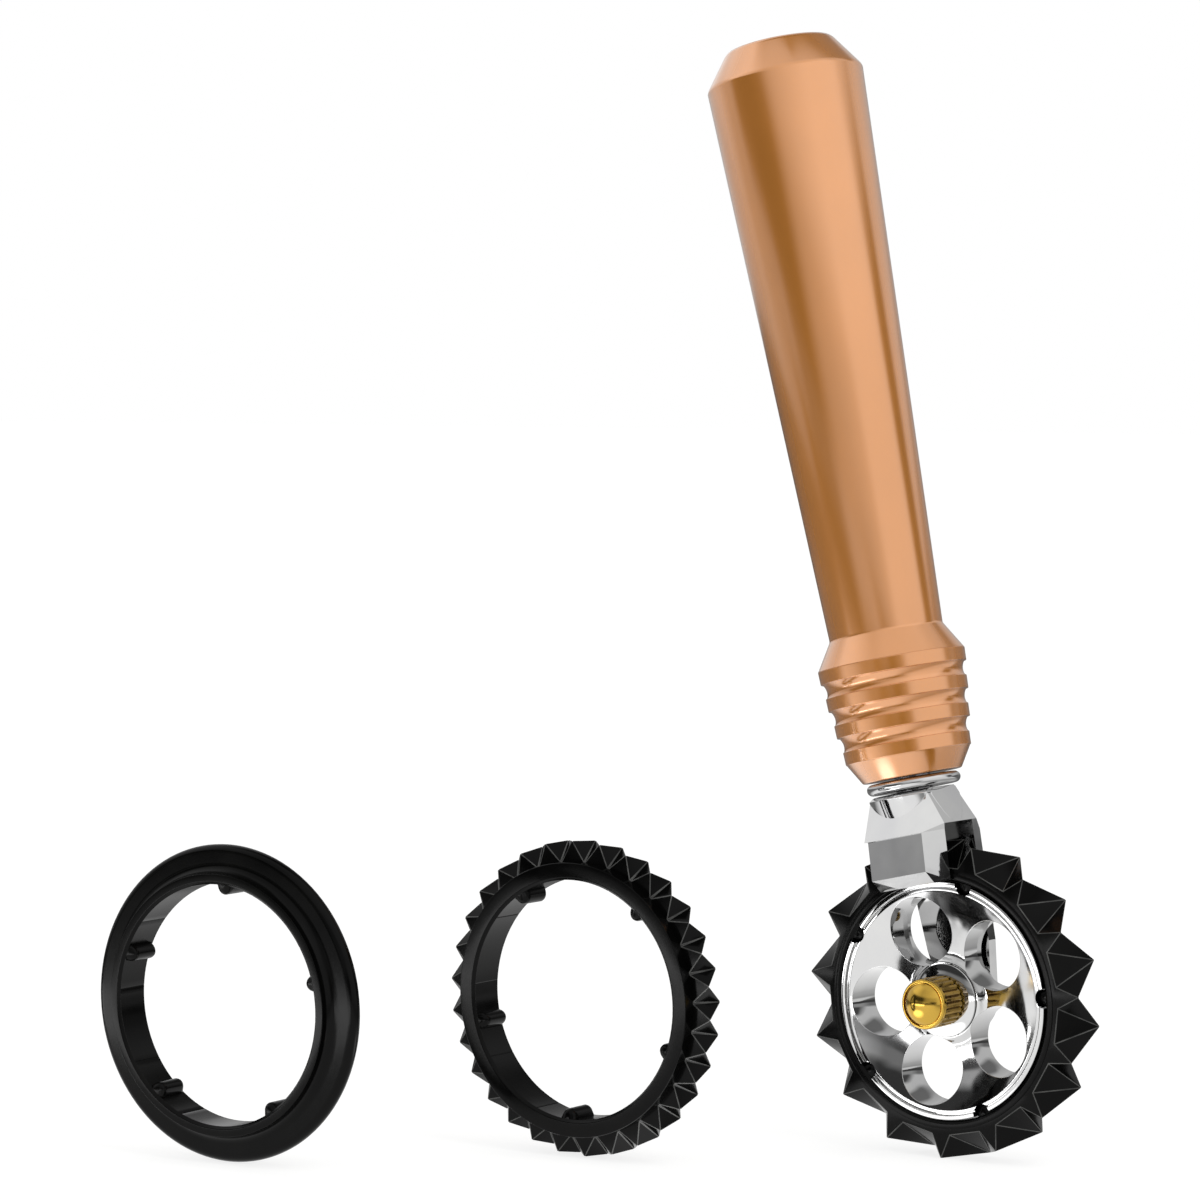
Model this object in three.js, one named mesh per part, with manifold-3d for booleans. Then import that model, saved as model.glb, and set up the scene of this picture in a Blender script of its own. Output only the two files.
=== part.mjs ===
// Pasta wheel: a turned handle, a fork with a short front prong and a long rear arm, a hub that carries a
// cutting ring, and an axle screw with a knurled knob. Two spare rings stand beside the tool.
//
// Millimetres, +Z up. The axle lies along Y and the knob faces -Y. The tool leans towards -X in the plane
// of the wheel. The origin is where a hand holds the tool, on the handle's axis halfway up its shaft.

import * as THREE from 'three';
import { ConvexGeometry } from 'three/addons/geometries/ConvexGeometry.js';
import { mergeVertices } from 'three/addons/utils/BufferGeometryUtils.js';
import Module from 'manifold-3d';

const wasm = await Module();
wasm.setup();

// Pose of the tool and of the spare rings, angles in degrees.
const toolLean = 12.6;
const wheelTurn = 5.8;
const smallRingPlace = { x: -47, y: -34.5, heading: 2, turn: 50.8 };
const smoothRingPlace = { x: -88, y: -72.5, heading: 4.5, turn: 14.4 };

// All three rings share the bore, the height of their points over it, the width, and the pips that lock
// them to the hub.
const ringBoreRadius = 18.95;
const ringHeight = 6.05;
const ringWidth = 6.9;
const ringBoreBevel = 0.45;
const ringEdgeBevel = 0.15;
const pipCount = 5;
const pipRadius = 1.35;
const pipReach = 1.6;

// Large zigzag ring: the share is the part of the pitch that a tooth takes up at its root.
const largeToothCount = 15;
const largeTreadWidth = 6.6;
const largeBodyWall = 2.25;
const largeRootShare = 0.37;

// Small zigzag ring. A front point lies half a pitch beside each pip.
const smallToothCount = 30;
const smallTreadWidth = 2.8;
const smallBodyWall = 2.75;
const smallRootShare = 0.94;

// Smooth ring: a round nose on a thin web that flares into the body with a hollow fillet.
const smoothBodyWall = 1.65;
const smoothNoseRadius = 1.25;
const smoothFilletRadius = 1.6;

// Hub. Heights along the axle are counted from the middle plane of the wheel.
const hubClearance = 0.15;
const hubFront = 3.6;
const hubRear = 3.4;
const lipWidth = 0.7;
const lipGrooveWidth = 0.25;
const lipGrooveDepth = 0.3;
const innerLipWidth = 0.5;
const innerLipSetback = 0.3;
const dishDepth = 1.7;
const bossRadius = 5.9;
const bossFront = 2.35;
const bossFlare = 0.6;
const rearBossHeight = 0.6;
const hubHoleCount = 5;
const hubHoleToRim = 1.8;
const hubHoleToBoss = 0.1;
const pipGrooveClearance = 0.15;

// Axle screw and its washer.
const runningClearance = 0.08;
const axialClearance = 0.15;
const shankRadius = 2.4;
const threadRadius = 1.9;
const threadSetback = 0.3;
const threadClearance = 0.1;
const washerRadius = 5.8;
const washerThickness = 0.65;
const knobRadius = 4;
const knobLength = 5.6;
const knobEdge = 0.35;
const knobFlutes = 24;
const knobFluteDepth = 0.3;
const knobFluteRadius = 0.45;
const buttonRadius = 3;
const buttonGrooveWidth = 0.3;
const buttonGrooveDepth = 0.5;
const buttonHeight = 1.5;

// Fork. Heights are counted from the axle towards the handle, depths from the middle plane of the wheel.
const wheelClearance = 2.3;
const crownHeight = 5.9;
const crownTopHalfWidth = 5.35;
const crownFootHalfWidth = 6.85;
const crownTopRear = 3.3;
const crownFootRear = 5.5;
const neckRadius = 6.9;
const neckEdgeRadius = 1.2;
const slopeTopFront = 5;
const slopeTopDrop = 0.4;
const ledgeDrop = 0.9;
const ledgeFront = 8.65;
const ledgeHalfWidth = 5.5;
const prongClearance = 0.45;
const prongFront = 8.2;
const prongFlare = 0.8;
const prongHalfWidth = 5.1;
const prongRearTopHalfWidth = 6.7;
const prongRearFootHalfWidth = 5.75;
const prongOverlap = 0.45;
const prongCornerRise = 1.9;
const prongBevel = 1.9;
const prongTipHalfWidth = 0.4;
const armThickness = 2.05;
const armShoulderDrop = 1.7;
const armShoulderHalfWidth = 6.7;
const armWaistHeight = 8;
const armWaistHalfWidth = 5.85;
const armEyeRadius = 4.5;

// Collar, stud and the seams between the parts that are stacked under the handle.
const seamGap = 0.3;
const collarRadius = 7.5;
const collarHeight = 1.8;
const studRadius = 2.9;
const studClearance = 0.15;
const studInFork = 5;
const studInHandle = 11;
const studBevel = 0.4;

// Handle, from its foot up.
const footRadius = 7.9;
const footBevelHeight = 3.4;
const gripFootRadius = 9.93;
const gripTopRadius = 11.85;
const gripLength = 15.35;
const gripCrown = 0.13;
const ribCount = 4;
const ribHeight = 2.14;
const ribGrooveDepth = 0.6;
const flareHeight = 4.4;
const waistRadius = 9.1;
const shaftLength = 90.15;
const shaftEndRadius = 12.65;
const buttBevelHeight = 5.7;
const buttRadius = 8.65;
const handleEdge = 0.35;
const boreFloorCone = 1.2;

// Fineness, and the two lengths that only serve the cutting: how far a cutter runs past the material, and
// how near two corners are to count as one.
const ringSides = 60;
const handleSides = 48;
const smallSides = 16;
const fluteSides = 6;
const arcSteps = 4;
const overrun = 1;
const mergeDistance = 1e-4;

const copper = new THREE.MeshStandardMaterial({ color: 0xd08848, metalness: 1, roughness: 0.35 });
const chrome = new THREE.MeshStandardMaterial({ color: 0xd8d8d8, metalness: 1, roughness: 0.08 });
const steel = new THREE.MeshStandardMaterial({ color: 0x9a9a9c, metalness: 1, roughness: 0.35 });
const brass = new THREE.MeshStandardMaterial({ color: 0xd0a040, metalness: 1, roughness: 0.2 });
const black = new THREE.MeshStandardMaterial({ color: 0x101010, metalness: 0, roughness: 0.3 });

// A closed mesh becomes a solid: shared corners are merged, and triangles that collapse on an axis are
// dropped.
function solidOf(geometry) {
  const bare = new THREE.BufferGeometry();
  bare.setAttribute('position', geometry.attributes.position);
  bare.setIndex(geometry.index);
  const merged = mergeVertices(bare, mergeDistance);
  const corners = merged.index.array;
  const kept = [];
  for (let i = 0; i < corners.length; i += 3) {
    const [a, b, c] = [corners[i], corners[i + 1], corners[i + 2]];
    if (a !== b && b !== c && c !== a) kept.push(a, b, c);
  }
  const vertProperties = new Float32Array(merged.attributes.position.array);
  const triVerts = new Uint32Array(kept);
  return new wasm.Manifold(new wasm.Mesh({ numProp: 3, vertProperties, triVerts }));
}

// A named mesh made from a finished solid.
function piece(name, solid, material) {
  const { vertProperties, triVerts } = solid.getMesh();
  const geometry = new THREE.BufferGeometry();
  geometry.setAttribute('position', new THREE.BufferAttribute(new Float32Array(vertProperties), 3));
  geometry.setIndex(new THREE.BufferAttribute(new Uint32Array(triVerts), 1));
  geometry.computeVertexNormals();
  const mesh = new THREE.Mesh(geometry, material);
  mesh.name = name;
  return mesh;
}

function union(solids) {
  return solids.reduce((whole, next) => whole.add(next));
}

// A turned form. The outline runs up the outside, as [radius, height] pairs, and it starts and ends on the
// axis or closes on itself.
function lathe(outline, sides) {
  const points = outline.map(([radius, height]) => new THREE.Vector2(radius, height));
  return new THREE.LatheGeometry(points, sides);
}

// Turned about Y, as [radius, y] pairs.
function turnedAboutY(outline, sides) {
  return solidOf(lathe(outline, sides));
}

// Turned about Z, as [radius, z] pairs.
function turnedAboutZ(outline, sides) {
  return solidOf(lathe(outline, sides).rotateX(Math.PI / 2));
}

// A round bar along Y between two depths.
function barAlongY(radius, yStart, yEnd, sides, x = 0, z = 0) {
  const bar = new THREE.CylinderGeometry(radius, radius, yEnd - yStart, sides);
  return solidOf(bar.translate(x, (yStart + yEnd) / 2, z));
}

// A flat outline in X and Z, extruded along Y between two depths.
function plateAlongY(shape, yStart, yEnd) {
  const plate = new THREE.ExtrudeGeometry(shape, { depth: yEnd - yStart, bevelEnabled: false });
  return solidOf(plate.rotateX(Math.PI / 2).translate(0, yEnd, 0));
}

// The convex block around corners given as [half width, y, z]: each stands on both sides of the middle.
function blockAround(corners) {
  const points = [];
  for (const [halfWidth, y, z] of corners) {
    points.push(new THREE.Vector3(halfWidth, y, z), new THREE.Vector3(-halfWidth, y, z));
  }
  return solidOf(new ConvexGeometry(points));
}

// Places around a circle in X and Z, counted from +X towards +Z.
function aroundAxle(count, radius, offset = 0) {
  return Array.from({ length: count }, (_, i) => {
    const angle = offset + (i * 2 * Math.PI) / count;
    return [radius * Math.cos(angle), radius * Math.sin(angle)];
  });
}

// Points on an arc, as pairs.
function arc([centreA, centreB], radius, start, end) {
  return Array.from({ length: arcSteps + 1 }, (_, i) => {
    const angle = THREE.MathUtils.degToRad(start + ((end - start) * i) / arcSteps);
    return [centreA + radius * Math.cos(angle), centreB + radius * Math.sin(angle)];
  });
}

const ringRadius = ringBoreRadius + ringHeight;
const halfRing = ringWidth / 2;
const pipCircle = ringBoreRadius - pipReach + pipRadius;

// The inner half that every ring shares: the bore with a bevel at each face, then the outline of the
// ring's own outside, given from the front face to the rear face.
function ringBody(outside) {
  const body = turnedAboutY([
    [ringBoreRadius, halfRing - ringBoreBevel],
    [ringBoreRadius, ringBoreBevel - halfRing],
    [ringBoreRadius + ringBoreBevel, -halfRing],
    ...outside,
    [ringBoreRadius + ringBoreBevel, halfRing],
    [ringBoreRadius, halfRing - ringBoreBevel],
  ], ringSides);
  const pipEnd = halfRing - ringBoreBevel;
  const pips = aroundAxle(pipCount, pipCircle).map(([x, z]) => (
    barAlongY(pipRadius, -pipEnd, pipEnd, smallSides, x, z)
  ));
  return union([body, ...pips]);
}

// A plain round outside with a fine bevel at both edges.
function roundOutside(radius) {
  return [
    [radius - ringEdgeBevel, -halfRing],
    [radius, ringEdgeBevel - halfRing],
    [radius, halfRing - ringEdgeBevel],
    [radius - ringEdgeBevel, halfRing],
  ];
}

// Zigzag tread. Its ridge runs from a point on the front face to one on the rear face half a pitch on, and
// back. Between two front points a pocket falls to the root circle at the front face and rises to the rear
// point behind it, and the rear pockets are the same the other way round.
function zigzagTread(count, width, rootRadius, rootShare, firstPoint) {
  const pitch = (2 * Math.PI) / count;
  const halfRoot = (rootShare * pitch) / 2;
  const coreRadius = (rootRadius + ringBoreRadius) / 2;
  const corners = [];
  const faces = [];
  const corner = (radius, y, angle) => {
    corners.push(radius * Math.cos(angle), y, radius * Math.sin(angle));
    return corners.length / 3 - 1;
  };
  const side = (y, angle) => ({
    core: corner(coreRadius, y, angle),
    coreNext: corner(coreRadius, y, angle + pitch / 2),
    left: corner(rootRadius, y, angle - halfRoot),
    right: corner(rootRadius, y, angle + halfRoot),
    point: corner(ringRadius, y, angle),
  });
  const teeth = Array.from({ length: count }, (_, i) => {
    const angle = firstPoint + i * pitch;
    return { front: side(-width / 2, angle), rear: side(width / 2, angle + pitch / 2) };
  });
  teeth.forEach(({ front, rear }, i) => {
    const next = teeth[(i + 1) % count];
    faces.push(
      [front.core, front.left, front.right],
      [front.left, front.point, front.right],
      [front.core, front.right, front.coreNext],
      [front.coreNext, front.right, next.front.left],
      [front.coreNext, next.front.left, next.front.core],
      [rear.core, rear.right, rear.left],
      [rear.left, rear.right, rear.point],
      [rear.core, rear.coreNext, rear.right],
      [rear.coreNext, next.rear.left, rear.right],
      [rear.coreNext, next.rear.core, next.rear.left],
      [front.point, rear.point, front.right],
      [front.right, rear.point, next.front.left],
      [next.front.left, rear.point, next.front.point],
      [rear.point, rear.right, next.front.point],
      [rear.right, next.rear.left, next.front.point],
      [next.rear.left, next.rear.point, next.front.point],
      [front.core, front.coreNext, rear.core],
      [front.core, rear.core, teeth[(i + count - 1) % count].rear.coreNext],
      [front.coreNext, next.front.core, rear.coreNext],
      [front.coreNext, rear.coreNext, rear.core],
    );
  });
  const geometry = new THREE.BufferGeometry();
  geometry.setAttribute('position', new THREE.BufferAttribute(new Float32Array(corners), 3));
  geometry.setIndex(faces.flat());
  return solidOf(geometry);
}

function largeZigzagRing() {
  const bodyRadius = ringBoreRadius + largeBodyWall;
  const tread = zigzagTread(largeToothCount, largeTreadWidth, bodyRadius, largeRootShare, 0);
  return ringBody(roundOutside(bodyRadius)).add(tread);
}

function smallZigzagRing() {
  const bodyRadius = ringBoreRadius + smallBodyWall;
  const besidePip = Math.PI / smallToothCount;
  const tread = zigzagTread(smallToothCount, smallTreadWidth, bodyRadius, smallRootShare, besidePip);
  return ringBody(roundOutside(bodyRadius)).add(tread);
}

// The hollow fillets turn the round body into the web, and the nose is half a circle.
function smoothRing() {
  const bodyRadius = ringBoreRadius + smoothBodyWall;
  const filletCentre = smoothNoseRadius + smoothFilletRadius;
  const webFoot = bodyRadius + smoothFilletRadius;
  return ringBody([
    [bodyRadius, -halfRing],
    ...arc([webFoot, -filletCentre], smoothFilletRadius, 180, 90),
    ...arc([ringRadius - smoothNoseRadius, 0], smoothNoseRadius, -90, 90),
    ...arc([webFoot, filletCentre], smoothFilletRadius, 270, 180),
    [bodyRadius, halfRing],
  ]);
}

const hubRadius = ringBoreRadius - hubClearance;
const hubHoleRadius = (hubRadius - hubHoleToRim - bossRadius - hubHoleToBoss) / 2;
const hubHoleCircle = bossRadius + hubHoleToBoss + hubHoleRadius;
const hubBoreRadius = shankRadius + runningClearance;
const armFront = hubRear + rearBossHeight + axialClearance;
const armRear = armFront + armThickness;

// The dish falls from the inner lip to its floor beside the boss along half a parabola.
function hubOutline() {
  const grooveOuter = hubRadius - lipWidth;
  const grooveInner = grooveOuter - lipGrooveWidth;
  const dishOuter = grooveInner - innerLipWidth;
  const dishInner = bossRadius + bossFlare;
  const innerLipFront = hubFront - innerLipSetback;
  const dish = Array.from({ length: arcSteps + 1 }, (_, i) => {
    const share = i / arcSteps;
    const depth = dishDepth * (1 - share * share);
    return [dishInner + (dishOuter - dishInner) * share, depth - innerLipFront];
  });
  return [
    [hubBoreRadius, hubRear + rearBossHeight],
    [hubBoreRadius, -bossFront],
    [bossRadius, -bossFront],
    ...dish,
    [grooveInner, -innerLipFront],
    [grooveInner, lipGrooveDepth - innerLipFront],
    [grooveOuter, lipGrooveDepth - innerLipFront],
    [grooveOuter, -hubFront],
    [hubRadius, -hubFront],
    [hubRadius, hubRear],
    [bossRadius, hubRear],
    [bossRadius, hubRear + rearBossHeight],
    [hubBoreRadius, hubRear + rearBossHeight],
  ];
}

function hub() {
  const start = -hubFront - overrun;
  const end = hubRear + overrun;
  const betweenPips = Math.PI / hubHoleCount;
  const cuts = [
    ...aroundAxle(hubHoleCount, hubHoleCircle, betweenPips).map(([x, z]) => (
      barAlongY(hubHoleRadius, start, end, handleSides, x, z)
    )),
    ...aroundAxle(pipCount, pipCircle).map(([x, z]) => (
      barAlongY(pipRadius + pipGrooveClearance, start, end, smallSides, x, z)
    )),
  ];
  return turnedAboutY(hubOutline(), ringSides).subtract(union(cuts));
}

const washerRear = -bossFront - axialClearance;
const washerFront = washerRear - washerThickness;
const knobRear = washerFront - axialClearance;
const knobFront = knobRear - knobLength;

function frontWasher() {
  return turnedAboutY([
    [hubBoreRadius, washerRear],
    [hubBoreRadius, washerFront],
    [washerRadius, washerFront],
    [washerRadius, washerRear],
    [hubBoreRadius, washerRear],
  ], ringSides);
}

// One bar turned from the domed button to the threaded end, with flutes cut along the knob.
function axleScrew() {
  const threadStart = armFront - axialClearance;
  const groove = buttonRadius + buttonGrooveWidth;
  const domeRadius = (buttonRadius * buttonRadius + buttonHeight * buttonHeight) / (2 * buttonHeight);
  const domeCentre = knobFront - buttonHeight + domeRadius;
  const domeEdge = THREE.MathUtils.radToDeg(Math.asin(buttonRadius / domeRadius));
  const bar = turnedAboutY([
    [0, knobFront - buttonHeight],
    ...arc([0, domeCentre], domeRadius, -90, domeEdge - 90).slice(1),
    [buttonRadius, knobFront + buttonGrooveDepth],
    [groove, knobFront + buttonGrooveDepth],
    [groove, knobFront],
    [knobRadius - knobEdge, knobFront],
    [knobRadius, knobFront + knobEdge],
    [knobRadius, knobRear - knobEdge],
    [knobRadius - knobEdge, knobRear],
    [shankRadius, knobRear],
    [shankRadius, threadStart],
    [threadRadius, threadStart],
    [threadRadius, armRear - threadSetback],
    [0, armRear - threadSetback],
  ], handleSides);
  const fluteCircle = knobRadius + knobFluteRadius - knobFluteDepth;
  const fluteFront = knobFront + knobEdge + knobFluteDepth;
  const fluteRear = knobRear + axialClearance;
  const flutes = aroundAxle(knobFlutes, fluteCircle).map(([x, z]) => (
    barAlongY(knobFluteRadius, fluteFront, fluteRear, fluteSides, x, z)
  ));
  return bar.subtract(union(flutes));
}

const crownFoot = ringRadius + wheelClearance;
const neckTop = crownFoot + crownHeight;
const collarFoot = neckTop + seamGap;
const handleFoot = collarFoot + collarHeight + seamGap;
const studBoreRadius = studRadius + studClearance;

// The round neck stands proud of the slope in front. Its other sides are cut flush with the crown.
function neck() {
  const round = turnedAboutZ([
    [0, crownFoot],
    [neckRadius, crownFoot],
    ...arc([neckRadius - neckEdgeRadius, neckTop - neckEdgeRadius], neckEdgeRadius, 0, 90),
    [0, neckTop],
  ], handleSides);
  const flush = blockAround([
    [crownTopHalfWidth, -neckRadius, neckTop],
    [crownTopHalfWidth, crownTopRear, neckTop],
    [crownFootHalfWidth, -neckRadius, crownFoot],
    [crownFootHalfWidth, crownFootRear, crownFoot],
  ]);
  return round.intersect(flush);
}

// The front prong hangs over the ring's front face. It leans out a little, and its lower corners are
// bevelled off to a blunt point.
function frontProng() {
  const rear = -halfRing - prongClearance;
  const top = crownFoot - ledgeDrop;
  const tip = hubRadius - prongOverlap;
  const corner = tip + prongCornerRise;
  const footFront = -prongFront - prongFlare;
  return blockAround([
    [prongHalfWidth, -prongFront, top],
    [prongHalfWidth, footFront, corner],
    [prongTipHalfWidth, footFront, tip],
    [prongHalfWidth, footFront + prongBevel, tip],
    [prongRearTopHalfWidth, rear, top],
    [prongRearFootHalfWidth, rear, tip],
  ]);
}

// The rear arm runs down behind the wheel to the eye that holds the end of the axle screw.
function rearArm() {
  const shoulder = crownFoot - armShoulderDrop;
  const toWaist = Math.hypot(armWaistHalfWidth, armWaistHeight);
  const slant = Math.atan2(armWaistHeight, armWaistHalfWidth) - Math.acos(armEyeRadius / toWaist);
  const eyeStart = THREE.MathUtils.radToDeg(slant);
  const outline = new THREE.Shape([
    [-armShoulderHalfWidth, shoulder],
    [-armWaistHalfWidth, armWaistHeight],
    ...arc([0, 0], armEyeRadius, -180 - eyeStart, eyeStart),
    [armWaistHalfWidth, armWaistHeight],
    [armShoulderHalfWidth, shoulder],
  ].map(([x, z]) => new THREE.Vector2(x, z)));
  return union([
    plateAlongY(outline, armFront, armRear),
    blockAround([
      [crownFootHalfWidth, armFront, crownFoot],
      [crownFootHalfWidth, crownFootRear, crownFoot],
      [armShoulderHalfWidth, armFront, shoulder],
      [armShoulderHalfWidth, armRear, shoulder],
    ]),
  ]);
}

// The crown joins neck, prong and arm. In front it slopes out to a ledge above the prong's bare face.
function fork() {
  const slopeTop = neckTop - slopeTopDrop;
  const prongRear = -halfRing - prongClearance;
  const ledge = crownFoot - ledgeDrop;
  const crown = blockAround([
    [crownTopHalfWidth, -slopeTopFront, slopeTop],
    [crownTopHalfWidth, crownTopRear, slopeTop],
    [crownFootHalfWidth, prongRear, crownFoot],
    [crownFootHalfWidth, crownFootRear, crownFoot],
  ]);
  const slope = blockAround([
    [crownTopHalfWidth, -slopeTopFront, slopeTop],
    [crownTopHalfWidth, prongRear, slopeTop],
    [crownFootHalfWidth, prongRear, crownFoot],
    [prongRearTopHalfWidth, prongRear, ledge],
    [ledgeHalfWidth, -ledgeFront, ledge],
  ]);
  const studBore = turnedAboutZ([
    [0, neckTop - studInFork - studClearance],
    [studBoreRadius, neckTop - studInFork - studClearance],
    [studBoreRadius, neckTop + overrun],
    [0, neckTop + overrun],
  ], smallSides);
  const axleHole = barAlongY(threadRadius + threadClearance, 0, armRear + overrun, handleSides);
  return union([neck(), crown, slope, frontProng(), rearArm()]).subtract(studBore).subtract(axleHole);
}

// Bull-nosed ring between neck and handle.
function collar() {
  const noseRadius = collarHeight / 2;
  return turnedAboutZ([
    [studBoreRadius, collarFoot + collarHeight],
    [studBoreRadius, collarFoot],
    ...arc([collarRadius - noseRadius, collarFoot + noseRadius], noseRadius, -90, 90),
    [studBoreRadius, collarFoot + collarHeight],
  ], handleSides);
}

function handleStud() {
  const foot = neckTop - studInFork;
  const top = handleFoot + studInHandle;
  return turnedAboutZ([
    [0, foot],
    [studRadius - studBevel, foot],
    [studRadius, foot + studBevel],
    [studRadius, top - studBevel],
    [studRadius - studBevel, top],
    [0, top],
  ], smallSides);
}

const gripFoot = handleFoot + footBevelHeight;
const gripTop = gripFoot + gripLength;
const waist = gripTop + flareHeight;
const shaftEnd = waist + shaftLength;
const butt = shaftEnd + buttBevelHeight;

// The grip's crest line swells a little between its two ends.
function gripRadiusAt(height) {
  const share = (height - gripFoot) / gripLength;
  const swell = gripCrown * 4 * share * (1 - share);
  return gripFootRadius + (gripTopRadius - gripFootRadius) * share + swell;
}

// Four ribs with three square grooves between them.
function ribOutline() {
  const grooveHeight = (gripLength - ribCount * ribHeight) / (ribCount - 1);
  const outline = [];
  for (let rib = 0; rib < ribCount; rib += 1) {
    const foot = gripFoot + rib * (ribHeight + grooveHeight);
    const top = foot + ribHeight;
    outline.push([gripRadiusAt(foot), foot], [gripRadiusAt(top), top]);
    if (rib < ribCount - 1) {
      const grooveEnd = top + grooveHeight;
      outline.push([gripRadiusAt(top) - ribGrooveDepth, top]);
      outline.push([gripRadiusAt(grooveEnd) - ribGrooveDepth, grooveEnd]);
    }
  }
  return outline;
}

function handle() {
  const boreTop = handleFoot + studInHandle + studClearance;
  const solid = turnedAboutZ([
    [0, handleFoot],
    [footRadius, handleFoot],
    ...ribOutline(),
    [waistRadius, waist],
    [shaftEndRadius, shaftEnd - handleEdge],
    [shaftEndRadius - handleEdge / 2, shaftEnd + handleEdge],
    [buttRadius + handleEdge / 2, butt - handleEdge],
    [buttRadius - handleEdge, butt],
    [0, butt],
  ], handleSides);
  const bore = turnedAboutZ([
    [0, handleFoot - overrun],
    [studBoreRadius, handleFoot - overrun],
    [studBoreRadius, boreTop],
    [0, boreTop + boreFloorCone],
  ], smallSides);
  return solid.subtract(bore);
}

// Wheel, screw and washer turn about the axle, so they share one place in the tool.
const lean = THREE.MathUtils.degToRad(toolLean);
const tool = new THREE.Group();
tool.position.z = ringRadius;
tool.rotation.y = -lean;
tool.add(
  piece('handle', handle(), copper),
  piece('handle_stud', handleStud(), steel),
  piece('collar', collar(), chrome),
  piece('fork', fork(), chrome),
  piece('front_washer', frontWasher(), chrome),
  piece('axle_screw', axleScrew(), brass),
);

const wheel = new THREE.Group();
wheel.rotation.y = lean - THREE.MathUtils.degToRad(wheelTurn);
wheel.add(
  piece('hub', hub(), chrome),
  piece('large_zigzag_ring', largeZigzagRing(), black),
);
tool.add(wheel);

// A spare ring stands on its edge. It is turned about its own axis first, then about the upright.
function standing(ring, place) {
  const stand = new THREE.Group();
  stand.position.set(place.x, place.y, ringRadius);
  stand.rotation.z = THREE.MathUtils.degToRad(place.heading);
  ring.rotation.y = -THREE.MathUtils.degToRad(place.turn);
  stand.add(ring);
  return stand;
}

const gripHeight = (waist + shaftEnd) / 2;
const pastaWheel = new THREE.Group();
pastaWheel.position.set(gripHeight * Math.sin(lean), 0, -ringRadius - gripHeight * Math.cos(lean));
pastaWheel.add(
  tool,
  standing(piece('small_zigzag_ring', smallZigzagRing(), black), smallRingPlace),
  standing(piece('smooth_ring', smoothRing(), black), smoothRingPlace),
);

export default pastaWheel;
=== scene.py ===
# %% [markdown]
# A pasta wheel and its three rings
#
# The tool is a tapered metal handle with a chromed fork under it. The fork holds a round hub on an axle, and
# a black ring with zigzag teeth is pushed over the hub. Two more rings stand beside the tool. The packed
# model has every part in its place. Here most parts are worked out anew in the same places, with finer
# surfaces, and each gets its finish.

# %% Load the frame
import math

import bmesh
import bpy
import numpy as np
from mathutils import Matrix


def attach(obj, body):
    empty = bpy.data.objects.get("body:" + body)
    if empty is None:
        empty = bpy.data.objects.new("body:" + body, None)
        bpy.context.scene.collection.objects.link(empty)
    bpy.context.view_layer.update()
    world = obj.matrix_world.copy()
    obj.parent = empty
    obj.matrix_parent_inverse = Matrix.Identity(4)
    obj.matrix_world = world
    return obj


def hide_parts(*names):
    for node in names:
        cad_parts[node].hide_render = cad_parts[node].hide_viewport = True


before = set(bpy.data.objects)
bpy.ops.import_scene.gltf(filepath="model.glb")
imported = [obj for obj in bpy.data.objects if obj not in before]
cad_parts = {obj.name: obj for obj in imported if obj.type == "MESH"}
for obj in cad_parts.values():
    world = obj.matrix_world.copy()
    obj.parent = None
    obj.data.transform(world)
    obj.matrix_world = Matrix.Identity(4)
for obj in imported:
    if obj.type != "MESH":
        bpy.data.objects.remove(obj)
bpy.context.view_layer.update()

print("parts in the frame:", sorted(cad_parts))

# %% [markdown]
# The camera
#
# A photograph taken from close by makes near things larger, so the distance of the camera matters as much as
# its direction. The place below was worked out from the ellipses that the round rings make in the picture.
# Nearness and a long lens could be traded against each other, but only one pair gives the two spare rings
# their sizes.

# %% Place the camera
camera_turn = 36.8
camera_tilt = 3.01
camera_place = (0.41005, -0.6108, -0.0005)
camera_data = bpy.data.cameras.new("camera")
camera_data.sensor_width = 36.0
camera_data.lens = 138.0
camera_data.clip_start = 0.01
camera = bpy.data.objects.new("camera", camera_data)
camera.location = camera_place
camera.rotation_euler = (math.radians(90 - camera_tilt), 0, math.radians(camera_turn))
bpy.context.scene.collection.objects.link(camera)
bpy.context.scene.camera = camera
facing = math.radians(camera_turn)
toward = (math.sin(facing), -math.cos(facing), 0.0)
right = (math.cos(facing), math.sin(facing), 0.0)
print("lens", camera_data.lens, "mm, camera", round(camera.location.length, 3), "m from the grip")

# %% [markdown]
# Nodes and colours
#
# Every finish below is a small network of nodes. One function adds a node of any kind, sets its values and
# connects what comes in, and another turns a colour as it is written on screen into the linear numbers that
# light is reckoned in. With these two, a material reads like a recipe.

# %% Helpers for materials


def linear(colour):
    """A written sRGB colour as linear light: each share c is c / 12.92 up to 0.04045, and above it the power
    2.4 of (c + 0.055) / 1.055."""
    share = np.array([int(colour[i:i + 2], 16) for i in (1, 3, 5)]) / 255
    light = np.where(share <= 0.04045, share / 12.92, ((share + 0.055) / 1.055) ** 2.4)
    return (*light.tolist(), 1.0)


def node(tree, kind, settings=(), stops=(), **sockets):
    """Adds a node: settings are its own options, sockets are numbers, colours or links into its inputs. An
    underscore in a socket's name stands for a space, and a name like i1 for the input with that number. The
    stops of a colour ramp are pairs of a place and a grey or a written colour."""
    new = tree.nodes.new("ShaderNode" + kind)
    for key, value in dict(settings).items():
        setattr(new, key, value)
    for key, value in sockets.items():
        counted = key[0] == "i" and key[1:].isdigit()
        socket = new.inputs[int(key[1:])] if counted else new.inputs[key.replace("_", " ")]
        if isinstance(value, bpy.types.NodeSocket):
            tree.links.new(value, socket)
        else:
            socket.default_value = value
    if stops:
        elements = new.color_ramp.elements
        while len(elements) < len(stops):
            elements.new(0.5)
        for element, (place, colour) in zip(elements, stops):
            element.position = place
            element.color = linear(colour) if isinstance(colour, str) else (colour, colour, colour, 1)
    return new


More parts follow.
